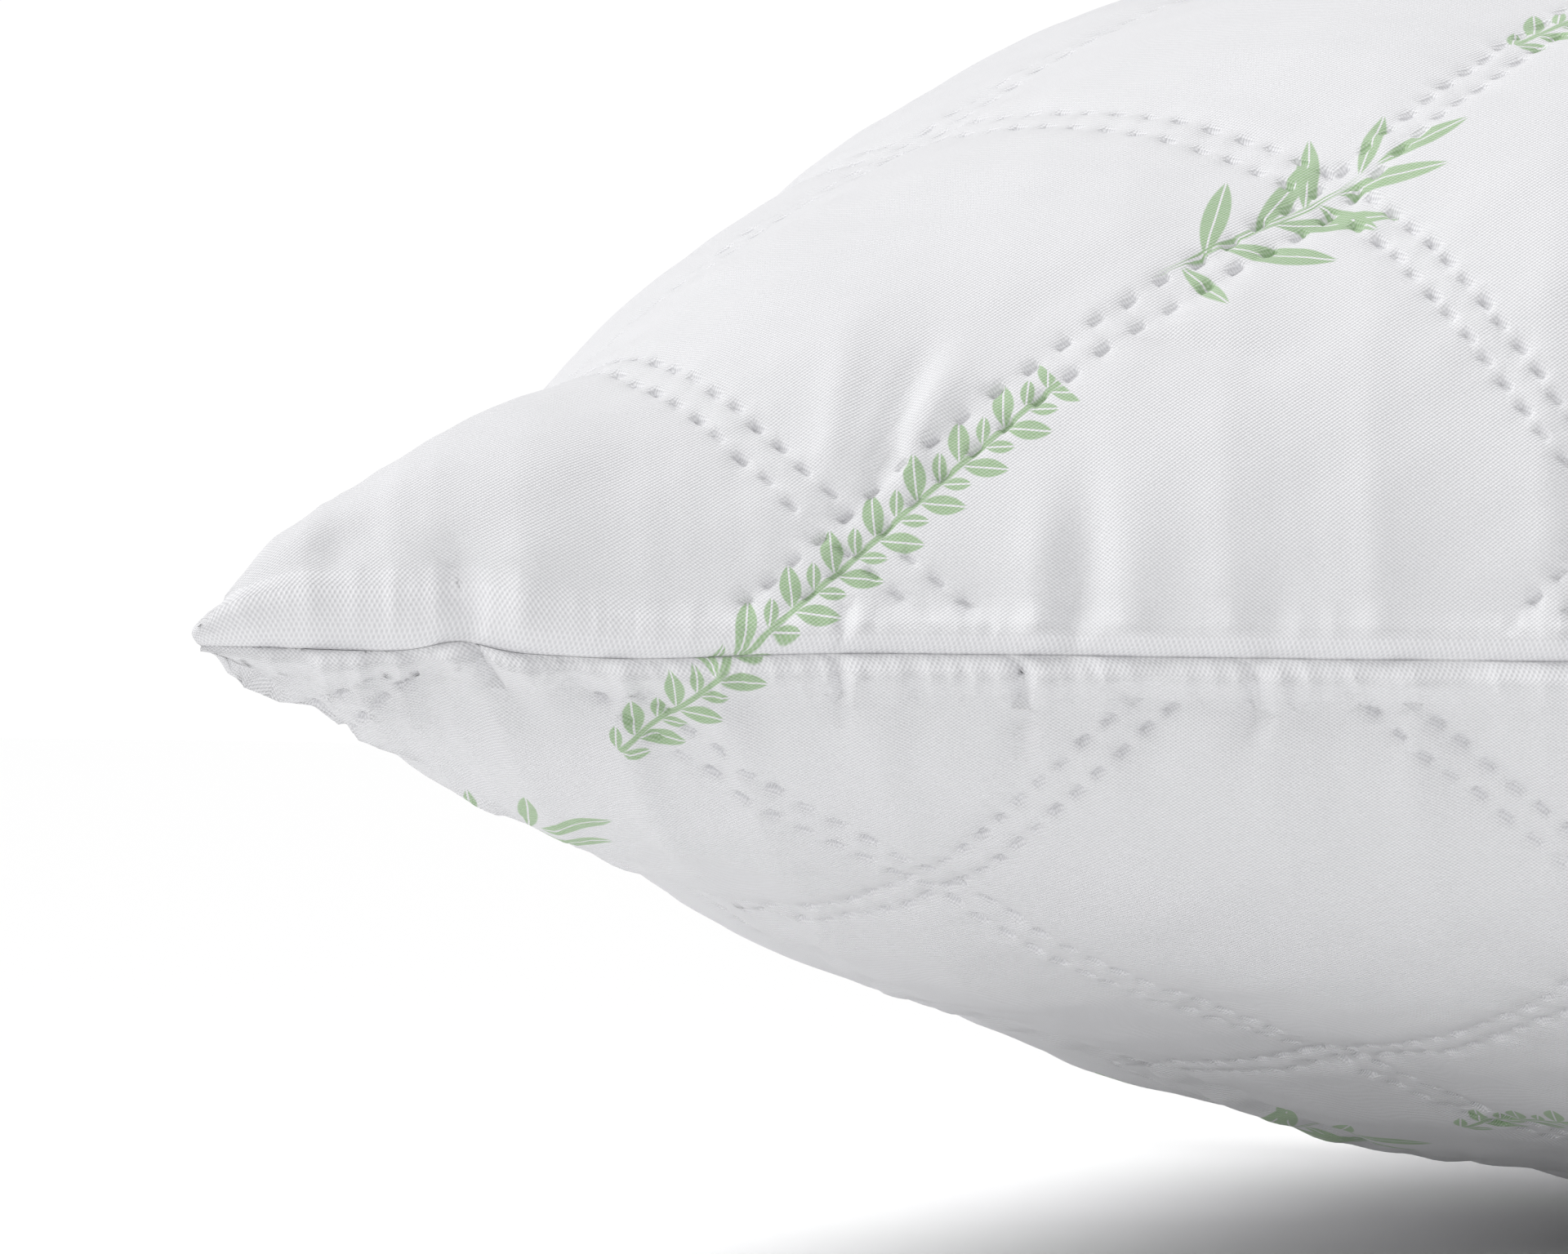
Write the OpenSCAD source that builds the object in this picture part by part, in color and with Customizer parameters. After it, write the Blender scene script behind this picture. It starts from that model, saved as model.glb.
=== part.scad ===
// Bed pillow with a quilted outer case, a zip along one short end and an inner
// bag of loose filling. Millimetres, X along the length, Z up, origin under the
// middle of the pillow on the surface it lies on.

/* [Pillow] */
// Length from corner tip to corner tip
pillow_l = 682; // [560:1:820]
// Width from corner tip to corner tip
pillow_w = 478; // [400:1:580]
// Height of the filled pillow
pillow_h = 194; // [150:1:230]
// Height of the side seam above the surface it lies on
seam_h = 80; // [62:1:100]
// How far the long edges draw in between the corners
draw_long = 16; // [6:1:24]
// How far the short edges draw in between the corners
draw_short = 15; // [6:1:22]
// Depth the underside is pressed flat by the pillow's own weight
rest_flat = 4; // [2:0.5:10]

/* [Quilted case] */
// Thickness of the outer microfibre
face_t = 0.6; // [0.4:0.1:1.2]
// Thickness of the wadding under it
wadding_t = 3; // [2:0.1:5]
// Thickness of the backing cloth
backing_t = 0.5; // [0.4:0.1:1]
// Depth of the raw edges inside the sewn seam
allowance_w = 9; // [7:0.5:12]
// Thickness of each folded seam allowance
allowance_t = 0.7; // [0.5:0.1:1]
// How far the allowances and the inner bag are rounded back from the corner tips
corner_in = 14; // [8:1:24]

/* [Inner bag] */
// Thickness of the inner bag's cloth
liner_t = 0.5; // [0.4:0.1:1]
// Gap kept between the inner bag and the case
liner_gap = 1; // [0.6:0.1:3]
// Gap kept between the filling and the inner bag
fill_gap = 0.6; // [0.4:0.1:2]

/* [Zip] */
// Length of the zip between its end stops
zip_l = 360; // [280:1:380]
// Width of each coil
coil_w = 2; // [1.6:0.1:3]
// Height of the slot the zip is sewn into
slot_h = 16; // [13:0.5:20]
// Length of the slider
slider_l = 10; // [8:0.5:13]
// Length of the pull tab
pull_l = 24; // [18:0.5:30]

/* [Hidden] */

cloth_gap = 0.3;
steps_x = 24;
steps_y = 18;
half_l = pillow_l / 2;
half_w = pillow_w / 2;
top_h = pillow_h - seam_h;
// how full the pillow is towards its edges, and how steeply it rises there
fullness = 2.65;
steepness = 0.456;
ear_long = 0.30;
ear_short = 0.82;

// depth of each layer below the outer surface
in_wadding = face_t + cloth_gap;
in_backing = in_wadding + wadding_t + cloth_gap;
in_case = in_backing + backing_t;
in_liner = in_case + liner_gap;
in_fill = in_liner + liner_t + fill_gap;
// width of the flat margin each layer keeps at the seam
rim_face = 1.6;
rim_wadding = 2.2;
rim_backing = 1.6;
rim_liner = 2.4;
thread_w = 0.6;
seam_clear = 1.2;
seam_in = rim_face + rim_wadding + rim_backing + 2 * cloth_gap + seam_clear;
band_in = seam_in + thread_w + cloth_gap;
overlock_in = band_in + allowance_w + cloth_gap;
liner_in = overlock_in + thread_w + liner_gap;
liner_thread_in = liner_in + rim_liner + seam_clear;
fill_in = liner_thread_in + thread_w + cloth_gap;
seam_gap = cloth_gap / 2;

// zip set into the +X end, in a slot between the two panels
zip_x = half_l - draw_short - 2;
slot_in = 7.5;
tape_t = 0.6;
coil_t = 1.6;
coil_gap = 2.2;
run_clear = 0.35;
tape_clear = 0.4;
plate_t = 0.9;
plate_x = zip_x + coil_t / 2 + run_clear;
slider_w = 2 * coil_w + coil_gap + 2.4;
bridge_w = coil_gap - 2 * run_clear;
bridge_l = 2.5;
stop_l = 3;
// the slider is parked against the front stop with the zip closed
park_y = -zip_l / 2 + stop_l + run_clear + slider_l / 2;
bail_r = 0.7;
eye_clear = 0.35;
eye_out = bail_r + eye_clear + 0.7;
bar_x = plate_x + plate_t + eye_out + run_clear;
eye_w = 3;
lug_t = 0.9;
bail_h = eye_w + 2 * lug_t + 2 * run_clear;
pull_w = 5;
pull_t = 1.2;

color_face = [0.95, 0.95, 0.96];
color_wadding = [0.98, 0.98, 0.97];
color_backing = [0.92, 0.92, 0.92];
color_thread = [0.99, 0.99, 0.99];
color_liner = [0.96, 0.96, 0.94];
color_filling = [0.95, 0.93, 0.86];
color_tape = [0.94, 0.94, 0.95];
color_coil = [0.90, 0.90, 0.92];
color_metal = [0.80, 0.81, 0.83];

function flare(u, from) = let (v = max(0, abs(u) - from) / (1 - from)) v * v;

function arch(u) = pow(max(0, 1 - pow(abs(u), fullness)), steepness);

// more points near the edges, where the cloth turns most
function spread(i, n) = let (u = 2 * i / n - 1) sign(u) * (1 - pow(1 - abs(u), 1.45));

// 1 at the corner tips, falling to 0 away from them
function corner(s, t) = flare(s, 0.8) * flare(t, 0.8);

function plan_x(s, t, cut, clip) =
    s * (half_l - draw_short * (1 - flare(t, ear_short)) - cut - clip * corner(s, t));

function plan_y(s, t, cut, clip) =
    t * (half_w - draw_long * (1 - flare(s, ear_long)) - cut - clip * corner(s, t));

// a dome over the plan, up above the seam or down below it and pressed flat
function dome(s, t, cut, depth, up, clip) =
    let (
        rise = (up ? top_h - seam_gap : seam_h + rest_flat) - depth,
        z = rise * arch(s) * arch(t),
        h = up ? z : min(z, seam_h - seam_gap - depth)
    )
    [plan_x(s, t, cut, clip), plan_y(s, t, cut, clip), seam_h + (up ? 1 : -1) * (h + seam_gap)];

function dome_grid(cut, depth, up, clip = 0) = [
    for (i = [0:steps_x], j = [0:steps_y])
        dome(spread(i, steps_x), spread(j, steps_y), cut, depth, up, clip)
];

// places along the rim of a grid, once round
function rim_places() = concat(
    [for (i = [0:steps_x - 1]) i * (steps_y + 1)],
    [for (j = [0:steps_y - 1]) steps_x * (steps_y + 1) + j],
    [for (i = [steps_x:-1:1]) i * (steps_y + 1) + steps_y],
    [for (j = [steps_y:-1:1]) j]
);

function grid_faces(base, flip) = [
    for (i = [0:steps_x - 1], j = [0:steps_y - 1])
        let (
            a = base + i * (steps_y + 1) + j,
            b = a + steps_y + 1,
            lean = (i < steps_x / 2) == (j < steps_y / 2)
        )
        each (
            flip
            ? (lean ? [[a, b, b + 1], [a, b + 1, a + 1]] : [[a, b, a + 1], [b, b + 1, a + 1]])
            : (lean ? [[a, b + 1, b], [a, a + 1, b + 1]] : [[a, a + 1, b], [b, a + 1, b + 1]])
        )
];

function rim_faces(far, up) =
    let (r = rim_places(), n = len(r)) [
        for (k = [0:n - 1])
            let (a = r[k], b = r[(k + 1) % n])
            each (up
                ? [[a, far + b, b], [a, far + a, far + b]]
                : [[a, b, far + b], [a, far + b, far + a]])
    ];

// one layer of a panel: an outer dome, an inner dome and a flat margin joining them
module panel(cut, depth, margin, thick, up, clip = 0) {
    count = (steps_x + 1) * (steps_y + 1);
    polyhedron(
        points = concat(
            dome_grid(cut, depth, up, clip),
            dome_grid(cut + margin, depth + thick, up, clip)
        ),
        faces = concat(
            grid_faces(0, !up),
            grid_faces(count, up),
            rim_faces(count, !up)
        ),
        convexity = 6
    );
}

function ring_points(cut, z0, z1) = [
    for (z = [z0, z1], k = rim_places())
        let (
            i = floor(k / (steps_y + 1)),
            j = k % (steps_y + 1),
            s = spread(i, steps_x),
            t = spread(j, steps_y)
        )
        [plan_x(s, t, cut, corner_in), plan_y(s, t, cut, corner_in), z]
];

// a flat band that follows the seam line all round
module seam_band(cut, width, z0, z1) {
    n = 2 * (steps_x + steps_y);
    polyhedron(
        points = concat(ring_points(cut, z0, z1), ring_points(cut + width, z0, z1)),
        faces = [
            for (k = [0:n - 1])
                let (m = (k + 1) % n)
                each [
                    [k, n + k, n + m, m],
                    [2 * n + k, 2 * n + m, 3 * n + m, 3 * n + k],
                    [k, m, 2 * n + m, 2 * n + k],
                    [n + k, 3 * n + k, 3 * n + m, n + m]
                ]
        ],
        convexity = 6
    );
}

// room for the zip in the +X end
module zip_room(grow) {
    translate([zip_x - slot_in - grow, -zip_l / 2 - 6 - grow, seam_h - slot_h / 2 - grow])
        cube([60, zip_l + 12 + 2 * grow, slot_h + 2 * grow]);
}

module top_face() {
    color(color_face)
        difference() {
            panel(0, 0, rim_face, face_t, true);
            zip_room(0);
        }
}

module top_wadding() {
    color(color_wadding)
        difference() {
            panel(rim_face + cloth_gap, in_wadding, rim_wadding, wadding_t, true);
            zip_room(0.3);
        }
}

module top_backing() {
    color(color_backing)
        difference() {
            panel(rim_face + rim_wadding + 2 * cloth_gap, in_backing, rim_backing, backing_t, true);
            zip_room(0.6);
        }
}

module bottom_face() {
    color(color_face)
        difference() {
            panel(0, 0, rim_face, face_t, false);
            zip_room(0);
        }
}

module bottom_wadding() {
    color(color_wadding)
        difference() {
            panel(rim_face + cloth_gap, in_wadding, rim_wadding, wadding_t, false);
            zip_room(0.3);
        }
}

module bottom_backing() {
    color(color_backing)
        difference() {
            panel(rim_face + rim_wadding + 2 * cloth_gap, in_backing, rim_backing, backing_t, false);
            zip_room(0.6);
        }
}

// the raw edges, folded inward and lying together inside the seam
module seam_allowance_top() {
    color(color_face)
        difference() {
            seam_band(band_in, allowance_w, seam_h + seam_gap, seam_h + allowance_t);
            zip_room(1);
        }
}

module seam_allowance_bottom() {
    color(color_face)
        difference() {
            seam_band(band_in, allowance_w, seam_h - allowance_t, seam_h - seam_gap);
            zip_room(1);
        }
}

// the line of stitches that closes the seam, at the outer side of the allowance
module seam_thread() {
    color(color_thread)
        difference() {
            seam_band(seam_in, thread_w, seam_h - allowance_t, seam_h + allowance_t);
            zip_room(1);
        }
}

// the thread wound over the raw edges
module overlock_thread() {
    color(color_thread)
        difference() {
            seam_band(overlock_in, thread_w, seam_h - allowance_t, seam_h + allowance_t);
            zip_room(1);
        }
}

module liner_top() {
    color(color_liner)
        panel(liner_in, in_liner, rim_liner, liner_t, true, corner_in);
}

module liner_bottom() {
    color(color_liner)
        panel(liner_in, in_liner, rim_liner, liner_t, false, corner_in);
}

module liner_seam_thread() {
    color(color_thread)
        seam_band(liner_thread_in, thread_w, seam_h - thread_w, seam_h + thread_w);
}

module filling() {
    count = (steps_x + 1) * (steps_y + 1);
    color(color_filling)
        polyhedron(
            points = concat(
                dome_grid(fill_in, in_fill, true, corner_in),
                dome_grid(fill_in, in_fill, false, corner_in)
            ),
            faces = concat(
                grid_faces(0, false),
                grid_faces(count, true),
                rim_faces(count, false)
            ),
            convexity = 4
        );
}

// a block on the zip, side +1 above the centre line or -1 below it
module zip_block(depth, from, to, length, side) {
    translate([zip_x - depth / 2, -length / 2, seam_h + (side > 0 ? from : -to)])
        cube([depth, length, to - from]);
}

module zip_tape_top() {
    color(color_tape)
        zip_block(tape_t, coil_gap / 2 + coil_w, slot_h / 2 - tape_clear, zip_l + 8, 1);
}

module zip_tape_bottom() {
    color(color_tape)
        zip_block(tape_t, coil_gap / 2 + coil_w, slot_h / 2 - tape_clear, zip_l + 8, -1);
}

module zip_coil_top() {
    color(color_coil)
        zip_block(coil_t, coil_gap / 2, coil_gap / 2 + coil_w, zip_l, 1);
}

module zip_coil_bottom() {
    color(color_coil)
        zip_block(coil_t, coil_gap / 2, coil_gap / 2 + coil_w, zip_l, -1);
}

// a small clamp between the coils that the slider runs up against
module zip_stop(y) {
    translate([zip_x - coil_t / 2, y - stop_l / 2, seam_h - coil_gap / 2])
        cube([coil_t, stop_l, coil_gap]);
}

module zip_stop_front() {
    color(color_metal)
        zip_stop(-zip_l / 2 + stop_l / 2);
}

module zip_stop_back() {
    color(color_metal)
        zip_stop(zip_l / 2 - stop_l / 2);
}

module slider_plate(x) {
    translate([x, park_y - slider_l / 2, seam_h - slider_w / 2])
        cube([plate_t, slider_l, slider_w]);
}

// the bar the pull hangs on, along Z, with a lug at each end
module slider_bail() {
    translate([bar_x, park_y, seam_h - bail_h / 2])
        cylinder(r = bail_r, h = bail_h, $fn = 32);
    for (side = [-1, 1])
        translate([
            plate_x + plate_t / 2,
            park_y - bail_r,
            seam_h + side * (bail_h - lug_t) / 2 - lug_t / 2
        ])
            cube([bar_x - plate_x - plate_t / 2 + bail_r, 2 * bail_r, lug_t]);
}

module zip_slider() {
    color(color_metal)
        union() {
            slider_plate(plate_x);
            slider_plate(2 * zip_x - plate_x - plate_t);
            translate([
                2 * zip_x - plate_x - plate_t / 2,
                park_y - slider_l / 2,
                seam_h - bridge_w / 2
            ])
                cube([2 * (plate_x - zip_x) + plate_t, bridge_l, bridge_w]);
            slider_bail();
        }
}

// the pull lies flat along the zip, its eye round the slider's bar
module zip_pull() {
    color(color_metal)
        translate([bar_x, park_y, seam_h])
            difference() {
                union() {
                    translate([0, 0, -eye_w / 2])
                        cylinder(r = eye_out, h = eye_w, $fn = 32);
                    translate([-pull_t / 2, 0, -eye_w / 2])
                        cube([pull_t, 6, eye_w]);
                    translate([-pull_t / 2, 4.5, -pull_w / 2])
                        cube([pull_t, pull_l - 4.5 - pull_w / 2, pull_w]);
                    translate([-pull_t / 2, pull_l - pull_w / 2, 0])
                        rotate([0, 90, 0])
                            cylinder(r = pull_w / 2, h = pull_t, $fn = 40);
                }
                translate([0, 0, -pull_w])
                    cylinder(r = bail_r + eye_clear, h = 2 * pull_w, $fn = 32);
                translate([-pull_t, pull_l - pull_w / 2 - 0.5, 0])
                    rotate([0, 90, 0])
                        cylinder(r = 1.2, h = 2 * pull_t, $fn = 32);
            }
}

top_face();
top_wadding();
top_backing();
bottom_face();
bottom_wadding();
bottom_backing();
seam_allowance_top();
seam_allowance_bottom();
seam_thread();
overlock_thread();
liner_top();
liner_bottom();
liner_seam_thread();
filling();
zip_tape_top();
zip_tape_bottom();
zip_coil_top();
zip_coil_bottom();
zip_stop_front();
zip_stop_back();
zip_slider();
zip_pull();
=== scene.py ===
import math

import bpy
import numpy as np
from mathutils import Matrix, Vector, geometry
from mathutils.bvhtree import BVHTree


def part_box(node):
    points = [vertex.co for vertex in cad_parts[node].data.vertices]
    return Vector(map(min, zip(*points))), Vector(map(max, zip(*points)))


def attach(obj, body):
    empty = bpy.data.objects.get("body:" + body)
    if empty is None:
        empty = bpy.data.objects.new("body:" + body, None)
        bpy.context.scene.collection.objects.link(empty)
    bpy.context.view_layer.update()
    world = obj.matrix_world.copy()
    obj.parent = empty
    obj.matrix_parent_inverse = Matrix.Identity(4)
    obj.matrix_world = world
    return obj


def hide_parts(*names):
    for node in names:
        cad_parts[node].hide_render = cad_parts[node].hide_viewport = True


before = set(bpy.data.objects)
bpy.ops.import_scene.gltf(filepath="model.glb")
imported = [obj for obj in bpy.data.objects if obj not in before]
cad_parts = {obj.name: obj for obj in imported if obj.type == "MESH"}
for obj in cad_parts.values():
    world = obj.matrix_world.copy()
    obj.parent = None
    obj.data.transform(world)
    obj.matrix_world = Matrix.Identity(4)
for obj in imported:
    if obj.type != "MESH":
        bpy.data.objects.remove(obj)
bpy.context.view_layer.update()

MM = 0.001
BODY = "pillow"

# ---------------------------------------------------------------- the pillow's plan and rise
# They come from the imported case, and the way the edges draw in is that of the CAD model.
case_low, case_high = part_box("top_face")
HALF_L, HALF_W = case_high.x, case_high.y
SEAM_Z = case_low.z - 0.15 * MM  # half the gap between the two panels in the CAD
RISE_TOP = (case_high.z - SEAM_Z) * 1.05  # the quilting's dips take the spare height away again
RISE_BOTTOM = SEAM_Z + 2 * MM  # pressed against the floor
FULLNESS, STEEPNESS = 2.65, 0.456  # how square and how blunt the stuffed arch is
END_FULLNESS = 3.6  # and how square along the middle of the upper panel
DRAW_LONG, DRAW_SHORT = 16 * MM, 15 * MM  # how far the long and short edges draw in halfway
EAR_LONG, EAR_SHORT = 0.30, 0.82  # share of each half edge at which its corner ear begins
EASE = 1.015  # spare cloth in the cut
CELL = 7 * MM  # of the simulated cloth


def flare(u, start):
    """0 up to the start of an ear, then rising to 1 at its tip."""
    v = np.clip((np.abs(u) - start) / (1 - start), 0, None)
    return v * v


def plan(s, t):
    """Where shares of the half length and half width, from -1 to 1, lie on the floor."""
    x = s * (HALF_L - DRAW_SHORT * (1 - flare(t, EAR_SHORT)))
    y = t * (HALF_W - DRAW_LONG * (1 - flare(s, EAR_LONG)))
    return x, y


def arch(s, fullness=FULLNESS):
    """Height, from 0 at the seam to 1, of the stuffed cross-section."""
    return np.clip(1 - np.abs(s) ** fullness, 0, 1) ** STEEPNESS


def arc_table(half, rise, levels=49, shares=513):
    """Place along the arch for each share of its length, for rises from 0 to the full one."""
    x = -np.cos(np.linspace(0, math.pi, 1501))
    z = arch(x)
    rows, length = [], 0
    for level in np.linspace(0, 1, levels):
        step = np.hypot(np.diff(x) * half, np.diff(z) * rise * level)
        along = np.concatenate([[0], np.cumsum(step)])
        rows.append(np.interp(np.linspace(0, 1, shares), along / along[-1], x))
        length = along[-1]
    return np.array(rows), length


def read_table(table, level, share):
    """Table value at a level and a share, each from 0 to 1."""
    n, m = table.shape[0] - 1, table.shape[1] - 1
    p, q = np.clip(level, 0, 1) * n, np.clip(share, 0, 1) * m
    i, j = np.minimum(p.astype(int), n - 1), np.minimum(q.astype(int), m - 1)
    fp, fq = p - i, q - j
    low = table[i, j] * (1 - fq) + table[i, j + 1] * fq
    high = table[i + 1, j] * (1 - fq) + table[i + 1, j + 1] * fq
    return low * (1 - fp) + high * fp


class Panel:
    """One quilted panel. A cloth point is a share (a, b) of its length and width."""

    def __init__(self, name, side):
        self.name, self.side = name, side
        self.rise = RISE_TOP if side > 0 else RISE_BOTTOM
        self.across_x, self.length = arc_table(HALF_L - DRAW_SHORT, self.rise)
        self.across_y, self.width = arc_table(HALF_W - DRAW_LONG, self.rise)

    def dome(self, a, b, full=1.0):
        """Where cloth points lie on the smooth dome, laid so that the cloth hardly stretches."""
        s, t = 2 * a - 1, 2 * b - 1
        # each share depends a little on the other, and a few rounds settle both
        for _ in range(14):
            s_next = read_table(self.across_x, arch(t), a)
            t_next = read_table(self.across_y, arch(s), b)
            s, t = (s + s_next) / 2, (t + t_next) / 2
        x, y = plan(s, t)
        high = arch(s)
        if self.side > 0:
            # halfway across, the upper panel's ends are stuffed fuller than at the corners
            middle = (1 - t * t) ** 2.5
            high = high * (1 - middle) + middle * arch(s, END_FULLNESS)
        return np.stack([x, y, SEAM_Z + self.side * self.rise * full * high * arch(t)], -1)


TOP, BOTTOM = Panel("top", 1), Panel("bottom", -1)
# Both panels are cut alike, a little larger than the domes, so the spare cloth puckers.
CUT_L = (TOP.length + BOTTOM.length) / 2 * EASE
CUT_W = (TOP.width + BOTTOM.width) / 2 * EASE


def new_piece(name, points, faces, smooth=True):
    """An object made of points and faces."""
    mesh = bpy.data.meshes.new(name)
    mesh.from_pydata(points, [], faces)
    mesh.polygons.foreach_set("use_smooth", [smooth] * len(mesh.polygons))
    obj = bpy.data.objects.new(name, mesh)
    bpy.context.scene.collection.objects.link(obj)
    return obj


def blurred(grid, sigma):
    """A grid of vectors with everything finer than sigma cells smoothed away."""
    reach = int(3 * sigma)
    w = np.exp(-0.5 * (np.arange(-reach, reach + 1) / sigma) ** 2)
    w /= w.sum()
    for axis in (0, 1):
        pad = [(0, 0)] * 3
        pad[axis] = (reach, reach)
        wide = np.pad(grid, pad, mode="edge")
        n = grid.shape[axis]
        grid = sum(wk * np.take(wide, np.arange(n) + k, axis=axis) for k, wk in enumerate(w))
    return grid


def grid_normals(p, side):
    """Outward directions over a grid of places."""
    du, dv = np.gradient(p, axis=0), np.gradient(p, axis=1)
    n = np.cross(du, dv) * side
    return n / (np.linalg.norm(n, axis=-1, keepdims=True) + 1e-12)


def on_grid(grid, a, b):
    """Smooth cubic reading of a grid at shares a and b of its sides."""
    n, m = grid.shape[0] - 1, grid.shape[1] - 1
    x, y = np.clip(a, 0, 1) * n, np.clip(b, 0, 1) * m
    i, j = np.minimum(x.astype(int), n - 1), np.minimum(y.astype(int), m - 1)
    fx, fy = x - i, y - j

    def weights(f):
        return [
            ((-0.5 * f + 1) * f - 0.5) * f,
            (1.5 * f - 2.5) * f * f + 1,
            ((-1.5 * f + 2) * f + 0.5) * f,
            (0.5 * f - 0.5) * f * f,
        ]

    wide = np.pad(grid, ((1, 1), (1, 1), (0, 0)), mode="reflect", reflect_type="odd")
    out = 0
    for p, wx in enumerate(weights(fx)):
        for q, wy in enumerate(weights(fy)):
            out = out + wide[i + p, j + q] * (wx * wy)[:, None]
    return out


def stitched_case(a, b):
    """Both panels on their domes, sewn round the edge. Gives the object and each grid's point numbers."""
    nx, ny = a.shape[0] - 1, a.shape[1] - 1
    at = np.zeros((2, nx + 1, ny + 1), int)
    places, flat, seam = [], [], []
    for k, panel in enumerate((TOP, BOTTOM)):
        start = panel.dome(a, b, 0.94)
        for i in range(nx + 1):
            for j in range(ny + 1):
                edge = i in (0, nx) or j in (0, ny)
                if edge and k == 1:
                    at[k, i, j] = at[0, i, j]
                    continue
                at[k, i, j] = len(places)
                places.append(start[i, j])
                flat.append((a[i, j] * CUT_L, b[i, j] * CUT_W, 0))
                if edge:
                    seam.append(len(places) - 1)
    quads = []
    for k in (0, 1):
        ring = [at[k, :-1, :-1], at[k, 1:, :-1], at[k, 1:, 1:], at[k, :-1, 1:]]
        ring = [r.ravel() for r in (ring if k == 0 else ring[::-1])]
        quads += np.stack(ring, 1).tolist()
    case = new_piece("blown_case", [tuple(p) for p in places], quads, False)
    case.shape_key_add(name="Basis")
    cut = case.shape_key_add(name="cut")
    cut.data.foreach_set("co", np.array(flat, np.float32).ravel())
    case.vertex_groups.new(name="seam").add(seam, 1.0, "REPLACE")
    return case, at


def blow_up(case, frames=20, pressure=4.0):
    """Fills the sewn case with air, its seam held, and returns where its points come to rest."""
    cloth = case.modifiers.new("Cloth", "CLOTH")
    s = cloth.settings
    s.quality, s.mass, s.air_damping = 5, 0.15, 2
    s.tension_stiffness, s.compression_stiffness = 40, 20
    s.shear_stiffness, s.bending_stiffness = 10, 0.15
    s.tension_damping = s.compression_damping = s.shear_damping = 8
    s.use_pressure, s.uniform_pressure_force = True, pressure
    s.rest_shape_key = case.data.shape_keys.key_blocks["cut"]
    s.vertex_group_mass = "seam"
    s.effector_weights.gravity = 0
    cloth.collision_settings.use_collision = False
    cloth.point_cache.frame_start, cloth.point_cache.frame_end = 1, frames
    scene = bpy.context.scene
    for f in range(1, frames + 1):
        scene.frame_set(f)
    shown = case.evaluated_get(bpy.context.evaluated_depsgraph_get())
    out = np.empty(len(case.data.vertices) * 3, np.float32)
    shown.to_mesh().vertices.foreach_get("co", out)
    shown.to_mesh_clear()
    scene.frame_set(1)
    return out.reshape(-1, 3).astype(float)


def inflate_case(cap_out=5 * MM, cap_in=2 * MM, cap_aside=3 * MM):
    """A grid of places for each panel: its dome with the wrinkles of the blown case."""
    nx, ny = round(CUT_L / CELL), round(CUT_W / CELL)
    a, b = np.meshgrid(np.linspace(0, 1, nx + 1), np.linspace(0, 1, ny + 1), indexing="ij")
    domes = [p.dome(a, b) for p in (TOP, BOTTOM)]
    case, at = stitched_case(a, b)
    blown = blow_up(case)
    bpy.data.objects.remove(case)
    result = []
    for k, dome in enumerate(domes):
        normal = grid_normals(dome, 1 if k == 0 else -1)
        move = blown[at[k]] - dome
        # the overall shape stays the dome's, and only the wrinkles are kept
        move = move - blurred(move, 42 * MM / CELL)
        outward = (move * normal).sum(-1, keepdims=True)
        aside = move - outward * normal
        far = np.linalg.norm(aside, axis=-1, keepdims=True) + 1e-9
        aside *= cap_aside * np.tanh(far / cap_aside) / far
        cap = np.where(outward > 0, cap_out, cap_in)
        result.append(dome + cap * np.tanh(outward / cap) * normal + aside)
    return result


# ---------------------------------------------------------------- welded quilting
# Rows of short welds in crossing pairs, from the front left corner of each panel.
QUILT = 102.9 * MM  # along the seam, from one pair to the next of the same lean
ROW_APART = 4.7 * MM
WELD_PITCH = 4.7 * MM
WELD_L, WELD_W = 2.1 * MM, 1.0 * MM
# where a pair that leans each way meets the front seam
QUILT_START = {"top": (74.6 * MM, 109.2 * MM), "bottom": (55.0 * MM, 137.7 * MM)}
WELD_REACH = 4 * MM  # cloth further than this from a weld's centre doesn't feel it
CROSSING_GAP = 1.9 * MM  # two welds never sit closer than this
SEAM_CLEAR = 3 * MM  # the welds stop this far from the seam

# where the stuffed corner pulls the quilting off the straight: place, reach and pull
PULLS = {
    "top": (((144, 70), (45, 60), (11, 1)), ((92, 17), (24, 20), (-1, -1.5))),
    "bottom": (((99, 43), (30, 25), (0, 3)),),
}


def pulled(panel, u, v):
    """How far the quilting is pulled aside at places on the cloth."""
    du = dv = 0
    for (u0, v0), (wide, deep), (to_u, to_v) in PULLS[panel.name]:
        g = np.exp(-(((u / MM - u0) / wide) ** 2) - ((v / MM - v0) / deep) ** 2)
        du, dv = du + g * to_u * MM, dv + g * to_v * MM
    return du, dv


def row_ways(lean):
    """Directions along and across the rows that lean up (1) or down (-1)."""
    ones = np.ones_like(lean)
    return np.stack([ones, lean], -1) / math.sqrt(2), np.stack([-lean, ones], -1) / math.sqrt(2)


def weld_lines(panel):
    """Each row of welds: a point on it, its direction and how far along its welds are set off."""
    lines = []
    up, down = QUILT_START[panel.name]
    reach = CUT_L + CUT_W
    for lean, start in ((1, up), (-1, down)):
        k0 = -math.ceil(reach / QUILT)
        for k in range(k0, -k0 + 1):
            for row in (-1, 1):
                along, side = row_ways(lean)
                point = np.array([start + k * QUILT, 0]) + side * row * ROW_APART / 2
                lines.append((point, along, (row + 1) / 4 * WELD_PITCH))
    return lines


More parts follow.
